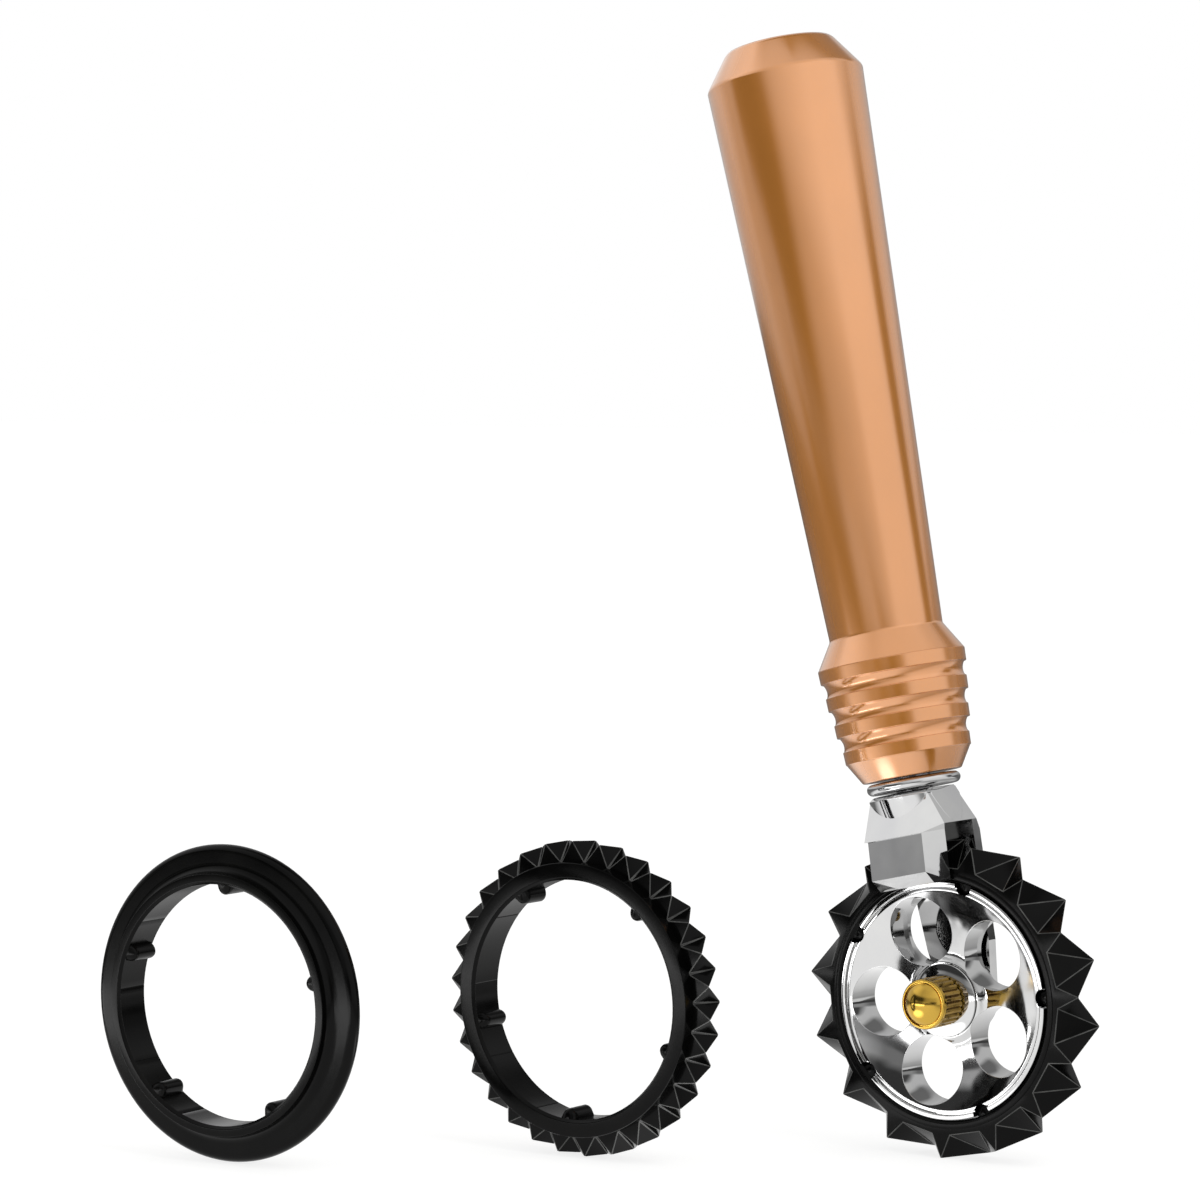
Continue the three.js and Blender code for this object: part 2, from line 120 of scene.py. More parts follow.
def new_material(name):
    """An empty material with no nodes yet, and the tree that the nodes go into."""
    material = bpy.data.materials.new(name)
    material.use_nodes = True
    material.node_tree.nodes.clear()
    return material, material.node_tree


print("white is", linear("#ffffff"))

# %% [markdown]
# The floor and the light
#
# Polished metal shows what stands around it, so half of its look is the room. A whole studio could be built
# from walls and screens. Here it is drawn, which is quicker to match: bands of greys round the horizon, one
# above the other, and a table with light and dark zones. Only mirrored rays see them. They were matched to
# the stripes that the photograph shows on chrome and copper, so they are right for its side, and they stay
# where they are when the camera moves.
#
# All else gets an even light, so a dull colour looks as it is written. To the camera the table is two thirds
# plain white and one third lit surface, so it is white and still keeps a soft shadow.

# %% The table as a mirror shows it
floor_height = -0.126325
floor_material, tree = new_material("white_table")
path = node(tree, "LightPath").outputs
place = node(tree, "TexCoord").outputs["Object"]
across = node(tree, "VectorMath", {"operation": "DOT_PRODUCT"}, i0=place, i1=right).outputs["Value"]
far = node(tree, "VectorMath", {"operation": "LENGTH"}, i0=place).outputs["Value"]
front_way = tuple(t + 0.25 * r for t, r in zip(toward, right))
ahead = node(tree, "VectorMath", {"operation": "DOT_PRODUCT"}, i0=place, i1=front_way).outputs["Value"]
front = node(
    tree, "MapRange", Value=ahead, From_Min=-0.12, From_Max=-0.05, To_Min=0.08, To_Max=1.0,
).outputs[0]
side = node(tree, "MapRange", Value=across, From_Min=-0.02, From_Max=0.4).outputs[0]
reach = node(tree, "MapRange", Value=far, From_Min=0.0, From_Max=2.5).outputs[0]
side_stops = [(0.0, 1.0), (0.1, 0.9), (0.24, 0.4), (0.45, 0.25), (0.7, 0.75)]
side_grey = node(tree, "ValToRGB", stops=side_stops, i0=side).outputs["Color"]
reach_stops = [(0.0, 1.0), (0.14, 1.0), (0.18, 0.7), (0.28, 0.66), (0.4, 0.12), (1.0, 0.05)]
reach_grey = node(tree, "ValToRGB", stops=reach_stops, i0=reach).outputs["Color"]
beside = node(tree, "MapRange", Value=across, From_Min=0.1, From_Max=0.4).outputs[0]
pale = linear("#f0f0f0")
reach_grey = node(tree, "Mix", {"data_type": "RGBA"}, i0=beside, i6=reach_grey, i7=pale).outputs[2]
multiply = {"data_type": "RGBA", "blend_type": "MULTIPLY"}
table_grey = node(tree, "Mix", multiply, i0=1.0, i6=side_grey, i7=reach_grey).outputs[2]
front_grey = node(tree, "Mix", multiply, i0=1.0, i6=table_grey, i7=front).outputs[2]
print("the table's zones have", len(side_stops), "stops to the side and", len(reach_stops), "outwards")

# %% A bright patch on it
table_light, patch_light = 1.4, 3.0
patch_place = (-0.002, -0.039, floor_height)
patch_full, patch_end = 0.012, 0.022
away = node(tree, "VectorMath", {"operation": "DISTANCE"}, i0=place, i1=patch_place).outputs["Value"]
patch = node(
    tree, "MapRange", Value=away, From_Min=patch_full, From_Max=patch_end, To_Min=patch_light, To_Max=0.0,
).outputs[0]
mirror_strength = node(tree, "Math", {"operation": "ADD"}, i0=patch, i1=table_light).outputs[0]
print("the patch gives the bevel at the handle's foot its gleam, and is", 2000 * patch_full, "mm wide")

# %% The white table
floor_size = 12.0
seen_white, mirrored_share = 0.66, 0.85
lit = node(tree, "BsdfDiffuse", Color=linear("#f4f4f2"))
white = node(tree, "Emission", Color=(1, 1, 1, 1), Strength=1.2)
mirrored = node(tree, "Emission", Color=front_grey, Strength=mirror_strength)
seen = node(tree, "Math", {"operation": "MULTIPLY"}, i0=path["Is Camera Ray"], i1=seen_white)
shown = node(tree, "MixShader", i0=seen.outputs[0], i1=lit.outputs[0], i2=white.outputs[0])
gloss = node(tree, "Math", {"operation": "MULTIPLY"}, i0=path["Is Glossy Ray"], i1=mirrored_share)
surface = node(tree, "MixShader", i0=gloss.outputs[0], i1=shown.outputs[0], i2=mirrored.outputs[0])
node(tree, "OutputMaterial", Surface=surface.outputs[0])

half = floor_size / 2
floor_corners = ((-half, -half), (half, -half), (half, half), (-half, half))
floor_mesh = bpy.data.meshes.new("table")
floor_mesh.from_pydata([(x, y, floor_height) for x, y in floor_corners], [], [(0, 1, 2, 3)])
floor_mesh.materials.append(floor_material)
floor = bpy.data.objects.new("table", floor_mesh)
bpy.context.scene.collection.objects.link(floor)
print("the table lies at", floor_height, "m")

# %% The directions in the studio
world = bpy.data.worlds.new("studio")
bpy.context.scene.world = world
world.use_nodes = True
tree = world.node_tree
tree.nodes.clear()
direction = node(tree, "TexCoord").outputs["Generated"]
ahead = node(tree, "VectorMath", {"operation": "DOT_PRODUCT"}, i0=direction, i1=toward).outputs["Value"]
beside = node(tree, "VectorMath", {"operation": "DOT_PRODUCT"}, i0=direction, i1=right).outputs["Value"]
height = node(tree, "SeparateXYZ", Vector=direction).outputs["Z"]
bearing = node(tree, "Math", {"operation": "ARCTAN2"}, i0=beside, i1=ahead).outputs[0]
turn = node(tree, "MapRange", Value=bearing, From_Min=-math.pi, From_Max=math.pi).outputs[0]
print("bearings are counted from", camera_turn, "degrees")

# %% Bands of greys round the horizon
wall_strength = 1.4


def bearing_share(degrees):
    """Place on the ramp of a bearing, counted from the camera's own direction to its right."""
    return (degrees + 180) / 360


def band(*stops):
    """A band round the horizon through pairs of a bearing and a brightness, as shares of the strength."""
    shares = [(bearing_share(degrees), grey / wall_strength) for degrees, grey in stops]
    return node(tree, "ValToRGB", stops=shares, i0=turn).outputs["Color"]


def blend_up(low, high, from_height, to_height):
    """Goes from one band of greys to the next between two heights on the unit sphere."""
    share = node(tree, "MapRange", Value=height, From_Min=from_height, From_Max=to_height).outputs[0]
    return node(tree, "Mix", {"data_type": "RGBA"}, i0=share, i6=low, i7=high).outputs[2]


skirting = band(
    (-180, 0.5), (-122, 0.6), (-108, 0.7), (-88, 0.5), (-78, 0.08), (-52, 0.08), (-38, 0.4),
    (-28, 0.02), (8, 0.02), (20, 1.05), (88, 1.05), (94, 0.05), (126, 0.08), (180, 0.4),
)
low_walls = band(
    (-180, 0.8), (-122, 0.8), (-104, 0.5), (-76, 0.55), (-66, 0.25), (-50, 0.25), (-36, 0.7),
    (-18, 0.7), (-10, 0.3), (-5, 0.02), (2, 0.08), (12, 0.25), (20, 1.05), (86, 1.05), (94, 0.4),
    (108, 0.4), (116, 0.2), (126, 0.25), (180, 0.5),
)
high_walls = band(
    (-180, 1.0), (-114, 0.8), (-100, 0.65), (-90, 0.05), (-46, 0.05), (-30, 0.5), (-4, 0.7), (12, 0.8),
    (24, 1.1), (84, 1.05), (92, 0.08), (105, 0.08), (113, 0.72), (126, 0.72), (150, 0.5), (180, 0.6),
)
upper = band(
    (-180, 1.0), (-124, 1.1), (-112, 1.3), (-96, 1.25), (-60, 0.7), (-20, 0.9), (24, 1.25), (80, 1.25),
    (92, 0.9), (112, 0.75), (122, 0.7), (132, 0.2), (160, 0.2), (180, 0.9),
)
overhead = band(
    (-180, 0.1), (-118, 0.3), (-100, 0.9), (88, 0.95), (112, 0.8), (120, 0.7), (132, 0.1), (180, 0.1),
)
surroundings = blend_up(skirting, low_walls, 0.055, 0.08)
surroundings = blend_up(surroundings, high_walls, 0.15, 0.2)
surroundings = blend_up(surroundings, upper, 0.4, 0.5)
surroundings = blend_up(surroundings, overhead, 0.8, 0.9)
print("the studio has a skirting, low and high walls, an upper band and a band overhead")

# %% What each ray sees of the studio
even_grey = 0.74
path = node(tree, "LightPath").outputs
reflected = node(tree, "Background", Color=surroundings, Strength=wall_strength)
even = node(tree, "Background", Color=(even_grey, even_grey, even_grey, 1), Strength=1.0)
backdrop = node(tree, "Background", Color=(1, 1, 1, 1), Strength=1.0)
light = node(tree, "MixShader", i0=path["Is Glossy Ray"], i1=even.outputs[0], i2=reflected.outputs[0])
studio = node(tree, "MixShader", i0=path["Is Camera Ray"], i1=light.outputs[0], i2=backdrop.outputs[0])
node(tree, "OutputWorld", Surface=studio.outputs[0])
print("dull surfaces get an even light of", even_grey)

# %% The lamps


def area_lamp(name, bearing, rise, distance, width, tall, power, mirrored):
    """A flat lamp that faces the origin. Its bearing is counted from the camera's direction to the right,
    and a lamp that isn't mirrored stays unseen in the metal."""
    data = bpy.data.lights.new(name, "AREA")
    data.shape = "RECTANGLE"
    data.size = width
    data.size_y = tall
    data.energy = power
    lamp = bpy.data.objects.new(name, data)
    swing, lift = math.radians(camera_turn + bearing), math.radians(rise)
    flat = distance * math.cos(lift)
    lamp.location = (flat * math.sin(swing), -flat * math.cos(swing), distance * math.sin(lift))
    lamp.rotation_euler = (math.pi / 2 - lift, 0, swing)
    lamp.visible_camera = False
    lamp.visible_glossy = mirrored
    bpy.context.scene.collection.objects.link(lamp)
    print(name, "gives", power, "W")


area_lamp(
    "soft_lamp", bearing=44, rise=56, distance=1.25, width=0.5, tall=0.5, power=3.4, mirrored=False,
)
area_lamp(
    "low_strip", bearing=-62, rise=-31, distance=0.23, width=0.24, tall=0.014, power=0.06, mirrored=True,
)
bpy.context.scene.view_settings.view_transform = "Standard"

# %% [markdown]
# Grids, turning and rounding
#
# Most of the tool was made on a lathe, so most of it is a profile swept round an axis. A profile could be a
# modifier on a curve, but worked out as a grid of points it can also carry knurls, notches and pips that
# change from one angle to the next. Real edges are never quite sharp, so each corner of a profile is rounded
# first.

# %% The lean and the axle
MM = 0.001
lean = math.radians(12.6)
grip_height = 103.825
axle = np.array([grip_height * math.sin(lean), 0, -grip_height * math.cos(lean)])
print("the axle lies at", axle.round(2).tolist(), "mm")

# %% Profiles and grids


def rounded(corners, steps=5):
    """A profile of (radius, height, rounding) corners with each corner bent: points at shares t of the way
    are (1-t)^2 A + 2t(1-t) P + t^2 B, where P is the corner and A and B lie one rounding before and after
    it."""
    corners = np.asarray(corners, float)
    place, bend = corners[:, :2], corners[:, 2:]
    before = np.vstack([place[:1], place[:-1]]) - place
    after = np.vstack([place[1:], place[-1:]]) - place
    start = place + bend * before / np.maximum(np.linalg.norm(before, axis=1, keepdims=True), 1e-9)
    end = place + bend * after / np.maximum(np.linalg.norm(after, axis=1, keepdims=True), 1e-9)
    t = np.linspace(0, 1, steps)[None, :, None]
    path = (1 - t) ** 2 * start[:, None] + 2 * t * (1 - t) * place[:, None] + t ** 2 * end[:, None]
    path = path.reshape(-1, 2)
    return path[np.r_[True, np.linalg.norm(np.diff(path, axis=0), axis=1) > 1e-5]]


def turned(radius, height, angle):
    """Points round the Y axis: radius times the cosine and sine of the angle, with the height between
    them."""
    radius, height, angle = np.broadcast_arrays(radius, height, angle)
    return np.stack([radius * np.cos(angle), height, radius * np.sin(angle)], -1)


def full_circle(sides):
    return np.linspace(0, 2 * np.pi, sides, endpoint=False)


def grid_faces(rows, columns, closed=False):
    """Faces between neighbouring points, counted row by row. The columns always close on themselves, and the
    rows close too where the profile is a loop."""
    i = np.arange(rows if closed else rows - 1)[:, None]
    j = np.arange(columns)[None, :]
    here, ahead = i * columns, (i + 1) % rows * columns
    beside = (j + 1) % columns
    return np.stack([here + j, here + beside, ahead + beside, ahead + j], -1).reshape(-1, 4)


def shell(points, closed=False):
    """A grid of points as one shell: flat points and faces."""
    rows, columns = points.shape[:2]
    return points.reshape(-1, 3), grid_faces(rows, columns, closed)


print("a grid of 3 by 8 points has", len(grid_faces(3, 8)), "faces")

# %% From a grid to a piece
smallest_bend = math.radians(8)


def placed(points, turn=lean, heading=0.0, centre=axle):
    """Turns points about Y, from X towards Z, then about Z, from X towards Y, and moves them to a centre."""
    x, y, z = np.moveaxis(points, -1, 0)
    x, z = x * math.cos(turn) - z * math.sin(turn), x * math.sin(turn) + z * math.cos(turn)
    x, y = x * math.cos(heading) - y * math.sin(heading), x * math.sin(heading) + y * math.cos(heading)
    return np.stack([x, y, z], -1) + centre


def smooth_below(mesh, crease):
    """Shades a mesh smooth, but for edges that bend more than the crease."""
    mesh.shade_smooth()
    mesh.set_sharp_from_angle(angle=math.radians(crease))


def make_piece(name, shells, materials, body, stands_for, crease=32):
    """One object from shells of (points in millimetres, faces, edge bevel). Points that meet are joined,
    which closes seams and poles, and the faces are turned outwards. The new faces of a bevel take the last
    material."""
    materials = materials if isinstance(materials, tuple) else (materials,)
    whole = bmesh.new()
    for points, faces, bevel in shells:
        part = bpy.data.meshes.new(name)
        part.from_pydata((points * MM).tolist(), [], faces.tolist())
        work = bmesh.new()
        work.from_mesh(part)
        bmesh.ops.remove_doubles(work, verts=work.verts, dist=2e-7)
        bmesh.ops.recalc_face_normals(work, faces=work.faces)
        if bevel:
            sharp = [edge for edge in work.edges if edge.calc_face_angle() > smallest_bend]
            bmesh.ops.bevel(
                work, geom=sharp, offset=bevel * MM, segments=2, profile=0.5, affect="EDGES",
                clamp_overlap=True, material=len(materials) - 1,
            )
        work.to_mesh(part)
        work.free()
        whole.from_mesh(part)
        bpy.data.meshes.remove(part)
    mesh = bpy.data.meshes.new(name)
    whole.to_mesh(mesh)
    whole.free()
    smooth_below(mesh, crease)
    for material in materials:
        mesh.materials.append(material)
    piece = bpy.data.objects.new(name, mesh)
    bpy.context.scene.collection.objects.link(piece)
    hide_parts(stands_for)
    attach(piece, body)
    print(name, "has", len(mesh.polygons), "faces")


print("a bevel takes edges that bend more than", round(math.degrees(smallest_bend)), "degrees")

# %% [markdown]
# Copper-coloured anodised aluminium
#
# The handle is turned from aluminium, blasted or brushed to a satin face, and anodised. The clear oxide
# layer holds a copper dye, so the metal under it shines through in colour while the layer's own shine stays
# white. That is a tinted metal under a thin clear coat. A typical metallic value is 1 and a typical IOR of
# the oxide about 1.7. Here they are 0.5 and 2.2, because these match the pale and dark stripes of the
# photograph.
#
# Turning leaves very fine rings round the axis, drawn here as noise that is stretched round the handle. They
# stand 0.1 mm apart, coarser than the real ones, so they show.

# %% Finish of the handle
copper_anodised, tree = new_material("copper_anodised_satin_aluminium")
axis_frame = node(
    tree, "Mapping", {"vector_type": "TEXTURE"}, Vector=node(tree, "TexCoord").outputs["Object"],
    Rotation=(0, -lean, 0),
).outputs[0]
ring_grain = node(tree, "Mapping", Vector=axis_frame, Scale=(60, 60, 9000)).outputs[0]
rings = node(tree, "TexNoise", Vector=ring_grain, Scale=1.0, Detail=2.0, Roughness=0.6).outputs["Fac"]
dye = node(tree, "TexNoise", Vector=axis_frame, Scale=90.0, Detail=3.0, Roughness=0.5).outputs["Fac"]
shade = node(tree, "ValToRGB", stops=[(0.3, "#d8882c"), (0.7, "#de8c30")], i0=dye).outputs["Color"]
sheen = node(tree, "MapRange", Value=rings, From_Min=0.25, From_Max=0.75, To_Min=0.2, To_Max=0.25)
relief = node(tree, "Bump", Height=rings, Strength=0.03, Distance=0.0001)
surface = node(
    tree, "BsdfPrincipled", Base_Color=shade, Metallic=0.5, Roughness=sheen.outputs[0],
    Normal=relief.outputs[0], Coat_Weight=1.0, Coat_Roughness=0.14, Coat_IOR=2.2,
)
node(tree, "OutputMaterial", Surface=surface.outputs[0])
print("finish of the handle:", copper_anodised.name)

# %% [markdown]
# The handle
#
# The handle is one profile from its foot to its butt: a bevel, four ribs with three hollow grooves, a cone,
# a long taper and a last bevel. A groove could be square, but then its bottom would mirror one spot and stay
# dull. Here each has a short wall on either side and an arc between them, as a round-nosed tool leaves it,
# and the arc gives the bright slivers between the ribs.

# %% The ribs and their grooves
handle_foot, grip_foot, grip_length = 35.6, 39.0, 15.35
grip_top = grip_foot + grip_length
grip_foot_radius, grip_top_radius, grip_swell = 9.93, 11.85, 0.13
rib_count, rib_height, crest_taper = 4, 2.14, 0.04
groove_depth, wall_depth, groove_rows = 0.6, 0.3, 15
groove_height = (grip_length - rib_count * rib_height) / (rib_count - 1)


def grip_radius(height):
    """Radius of the ribs' crests: a straight taper with a swell of four times share times what is left."""
    share = (height - grip_foot) / grip_length
    taper = grip_foot_radius + (grip_top_radius - grip_foot_radius) * share
    return taper + grip_swell * 4 * share * (1 - share)


def rib_profile():
    """Crest, then a groove: a step down its wall, and from there a depth that goes with 1 minus the square
    of the place across it, counted from its middle."""
    foot = grip_foot + np.arange(rib_count)[:, None] * (rib_height + groove_height)
    edge = np.array([0.0, 0.04, 0.09, 0.13])
    sink = np.array([0.09, 0.025, 0.0, 0.0])
    crest = np.hstack([foot + edge, foot + rib_height - edge[::-1]])
    middle = foot + rib_height / 2
    crest_radius = grip_radius(middle) + crest_taper * (crest - middle) - np.r_[sink, sink[::-1]]
    across = np.linspace(-1, 1, groove_rows)
    groove = foot + rib_height + groove_height / 2 * (1 + across * 0.97)
    groove_radius = grip_radius(groove) - wall_depth - (groove_depth - wall_depth) * (1 - across ** 2)
    rows = np.hstack([np.stack([crest_radius, crest], -1), np.stack([groove_radius, groove], -1)])
    return rows.reshape(-1, 2)[:-groove_rows]


print("the ribs' profile has", len(rib_profile()), "rows")

# %% The handle
foot_radius, foot_bevel_radius = 7.9, 9.9
waist_radius, waist = 9.1, 58.75
shaft_end_radius, shaft_end = 12.62, 148.7
butt_radius, butt = 8.2, 154.6
foot_rows = rounded([
    (0, handle_foot, 0), (foot_radius, handle_foot, 0.25), (foot_bevel_radius, grip_foot - 0.05, 0),
])
top_rows = rounded([
    (grip_radius(grip_top) - 0.1, grip_top, 0), (waist_radius, waist, 0.25),
    (shaft_end_radius, shaft_end, 0), (shaft_end_radius - 0.15, shaft_end + 0.45, 0.3),
    (butt_radius + 0.55, butt - 0.25, 0.5), (butt_radius, butt, 0.3), (0, butt, 0),
])
handle_profile = np.vstack([foot_rows, rib_profile(), top_rows])
handle_angle = full_circle(192)
handle_points = turned(handle_profile[:, :1], handle_profile[:, 1:], handle_angle)[..., [0, 2, 1]]
make_piece(
    "tapered_handle", [(*shell(placed(handle_points)), 0)], copper_anodised, "tool", "handle",
)

# %% [markdown]
# Polished chrome
#
# Fork and hub are castings, most likely of zinc, and collar and washer are turned. All are polished and
# chrome plated. Chrome is a nearly white metal with almost no roughness, so its look is all reflection. A
# cast face is never quite flat, and a slow ripple, about 5 mm long and a hundredth of a millimetre high,
# bends the reflections a little. Fingers leave faint smears that are a bit rougher.

# %% Finish of the chromed parts
chrome_plate, tree = new_material("polished_chrome_plate")
place = node(tree, "TexCoord").outputs["Object"]
ripple = node(tree, "TexNoise", Vector=place, Scale=220.0, Detail=1.0).outputs["Fac"]
smear = node(
    tree, "TexNoise", Vector=place, Scale=90.0, Detail=4.0, Roughness=0.6, Distortion=0.6,
).outputs["Fac"]
sheen = node(tree, "MapRange", Value=smear, From_Min=0.35, From_Max=0.75, To_Min=0.04, To_Max=0.1)
relief = node(tree, "Bump", Height=ripple, Strength=0.12, Distance=0.0003)
tone = node(tree, "ValToRGB", stops=[(0.3, "#c8c8c7"), (0.7, "#c0c0c1")], i0=smear).outputs["Color"]
surface = node(
    tree, "BsdfPrincipled", Base_Color=tone, Metallic=1.0, Roughness=sheen.outputs[0],
    Normal=relief.outputs[0],
)
node(tree, "OutputMaterial", Surface=surface.outputs[0])
print("finish of the chromed parts:", chrome_plate.name)

# %% [markdown]
# Collar and washer
#
# Between the handle and the neck sits a ring with a full round edge, and a flat washer lies between the hub
# and the knob. Both are loops of a profile round an axis, so their rows close on themselves.

# %% The collar
collar_foot, collar_height, stud_bore = 33.5, 1.8, 3.05
nose_foot_radius, nose_reach = 6.6, 0.9
nose = np.linspace(-np.pi / 2, np.pi / 2, 17)
collar_nose = np.stack([
    nose_foot_radius + nose_reach * np.cos(nose),
    collar_foot + collar_height / 2 * (1 + np.sin(nose)),
], -1)
collar_profile = np.vstack([
    [[stud_bore, collar_foot]], collar_nose, [[stud_bore, collar_foot + collar_height]],
])
collar_points = turned(collar_profile[:, :1], collar_profile[:, 1:], full_circle(144))[..., [0, 2, 1]]
make_piece(
    "round_collar", [(*shell(placed(collar_points), True), 0)], chrome_plate, "tool", "collar",
)

# %% The washer
axle_bore, washer_radius = 2.48, 5.8
washer_front, washer_rear = -3.15, -2.5
washer_profile = rounded([
    (axle_bore, washer_rear - 0.1, 0), (axle_bore, washer_front, 0.1), (4.1, washer_front, 1.0),
    (washer_radius, washer_rear - 0.25, 0.12), (washer_radius, washer_rear, 0.05),
    (axle_bore, washer_rear, 0),
], 7)
washer_points = turned(washer_profile[:, :1], washer_profile[:, 1:], full_circle(144))
make_piece(
    "flat_washer", [(*shell(placed(washer_points), True), 0)], chrome_plate, "washer",
    "front_washer",
)

# %% [markdown]
# The fork
#
# The fork is one casting with flat faces and a round neck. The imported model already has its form, as loose
# triangles. A copy of it is joined at its corners, flat neighbours become one face, and a bevel with three
# steps rounds each edge by a fifth of a millimetre, as casting and polishing do. One face on each side is a
# little twisted, so it is split into a fine grid, which chrome mirrors without a crease.

# %% The fork's softened copy
crown_foot, rear_foot_height, front_foot_height = 26.4, 18.35, 20.25
rear_depth, crown_front, prong_front = -3.9, -8.2, -9.0
crown_half, rear_half, moved_half, front_half = 6.7, 5.75, 6.1, 5.1
patch_cuts = 7
fork_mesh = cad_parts["fork"].data.copy()
fork_mesh.name = "cast_fork"
work = bmesh.new()
work.from_mesh(fork_mesh)
bmesh.ops.remove_doubles(work, verts=work.verts, dist=2e-6)
bmesh.ops.dissolve_limit(work, angle_limit=math.radians(4.0), verts=work.verts, edges=work.edges)


def corner(place):
    """The corner that lies nearest to a place in the handle's own upright frame."""
    target = placed(np.array(place)) * MM
    return min(work.verts, key=lambda vert: np.linalg.norm(np.array(vert.co) - target))


def shared_edge(first, second):
    """The edge between two corners."""
    return next(edge for edge in first.link_edges if edge.other_vert(first) is second)


for side in (-1, 1):
    rear_top = corner((side * crown_half, rear_depth, crown_foot))
    rear_foot = corner((side * rear_half, rear_depth, rear_foot_height))
    front_top = corner((side * front_half, crown_front, crown_foot))
    front_foot = corner((side * front_half, prong_front, front_foot_height))
    rear_foot.co = placed(np.array((side * moved_half, rear_depth, rear_foot_height))) * MM
    bmesh.ops.dissolve_edges(work, edges=[shared_edge(rear_top, front_foot)])
    borders = [shared_edge(front_top, front_foot), shared_edge(rear_top, rear_foot)]
    bmesh.ops.subdivide_edges(work, edges=borders, cuts=patch_cuts, use_grid_fill=True)
work.to_mesh(fork_mesh)
work.free()
fork_mesh.materials.clear()
fork_mesh.materials.append(chrome_plate)
smooth_below(fork_mesh, 12)
fork = bpy.data.objects.new("cast_fork", fork_mesh)
bpy.context.scene.collection.objects.link(fork)
edge = fork.modifiers.new("edge", "BEVEL")
edge.width = 0.2 * MM
edge.segments = 3
edge.limit_method = "ANGLE"
edge.angle_limit = math.radians(15)
flat_faces = fork.modifiers.new("flat_faces", "WEIGHTED_NORMAL")
flat_faces.weight = 100
flat_faces.keep_sharp = True
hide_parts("fork")
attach(fork, "tool")
print("the fork has", len(fork_mesh.polygons), "faces before its edges are rounded")

# %% [markdown]
# The neck
#
# Above the slope a round neck stands out in front. It narrows a little towards its foot, so that it mirrors
# the white table and shines like a bowl. It is a cone cut flush with the fork's sides and back: wherever the
# round would pass those planes, its points are held on them.

# %% The neck
neck_top, neck_foot, neck_shoulder = 33.2, 28.0, 32.6
neck_foot_radius, neck_shoulder_radius, neck_top_radius, floor_thickness = 6.62, 7.62, 6.7, 0.2
fork_half_width, fork_side_slope = 5.29, 0.254
fork_rear, fork_rear_slope = 3.24, 0.373
neck_profile = rounded([
    (0, neck_foot, 0), (neck_foot_radius, neck_foot, 0), (neck_shoulder_radius, neck_shoulder, 0.12),
    (neck_top_radius, neck_top, 0.35), (stud_bore, neck_top, 0.05),
    (stud_bore, neck_foot + floor_thickness, 0), (0, neck_foot + floor_thickness, 0),
])
neck = turned(neck_profile[:, :1], neck_profile[:, 1:], full_circle(192))[..., [0, 2, 1]]
below = neck_top - neck[..., 2]
side_plane = fork_half_width + fork_side_slope * below
neck[..., 0] = np.clip(neck[..., 0], -side_plane, side_plane)
neck[..., 1] = np.minimum(neck[..., 1], fork_rear + fork_rear_slope * below)
make_piece("round_neck", [(*shell(placed(neck)), 0)], chrome_plate, "tool", "fork")

# %% [markdown]
# The hub
#
# The hub is a dished disc with a double lip, five round holes and five notches for the pips of a ring.
# Cutting the holes with another solid would leave ragged faces that chrome shows at once. Instead each fifth
# of the disc is a grid of its own: its lines start on the hole's edge and fan out to the borders of the
# fifth.

# %% The hub's sizes
hub_radius, hub_front, hub_rear = 18.8, -3.6, 3.4
dish_inner, dish_outer, inner_lip, flare_outer = 6.5, 17.35, -3.3, 7.2
dish_floor, dish_depth = -1.6, 1.7
boss_radius, boss_front, boss_rear = 5.9, -2.35, 4.0
hole_circle, hole_radius, hole_edge = 11.5, 5.5, 0.08
border_radius = 17.15
notch_circle, notch_radius = 18.7, 1.5
fifth = 2 * np.pi / 5
lip_radii = [17.35, 17.85, 17.851, 18.1, 18.101, 18.8]
lip_heights = [-3.3, -3.3, -3.0, -3.0, -3.6, -3.6]


def hub_face(radius):
    """Height of the front: the boss, its flare, then a dish that falls with the square of the place across
    it, and the two lips with the groove between them."""
    share = (radius - dish_inner) / (dish_outer - dish_inner)
    dish = dish_floor - dish_depth * share ** 2
    share = np.clip((radius - boss_radius) / (flare_outer - boss_radius), 0, 1)
    flare = boss_front + (dish - boss_front) * share ** 2 * (3 - 2 * share)
    lips = np.interp(radius, lip_radii, lip_heights)
    return np.where(radius < flare_outer, flare, np.where(radius < dish_outer, dish, lips))


def notch_limit(angle):
    """How far out the hub reaches at an angle. A ray meets the notch's circle where its length is the
    circle's distance times the cosine, less the root of the notch's radius squared minus the sine's part
    squared."""
    off = (angle + fifth / 2) % fifth - fifth / 2
    inside = notch_radius ** 2 - (notch_circle * np.sin(off)) ** 2
    reach = notch_circle * np.cos(off) - np.sqrt(np.maximum(inside, 0))
    return np.where(inside > 0, reach, hub_radius)


notch_half = math.asin(notch_radius / notch_circle)
just_inside, just_outside = 0.999, 1.004
in_notch = fifth / 2 - notch_half * np.sin(np.linspace(0, np.pi / 2, 9)) * just_inside
outside = np.linspace(-1, 1, 41) * (fifth / 2 - notch_half * just_outside)
border_angle = np.r_[-in_notch, outside, in_notch[::-1]]
print("one fifth of the hub's rim has", len(border_angle), "lines")

# %% The web between the holes


def fifth_border():
    """The closed border of one fifth, centred on its hole: outer arc, side, inner arc and side."""
    sides = np.linspace(border_radius, boss_radius, 30)[1:-1]
    inner = np.linspace(1, -1, 31) * fifth / 2
    outer_arc = np.full(border_angle.size, border_radius)
    inner_arc = np.full(inner.size, boss_radius)
    radius = np.r_[outer_arc, sides, inner_arc, sides[::-1]]
    side = np.full(sides.size, fifth / 2)
    angle = np.r_[border_angle, side, inner, -side]
    return radius * np.cos(angle), radius * np.sin(angle), inner


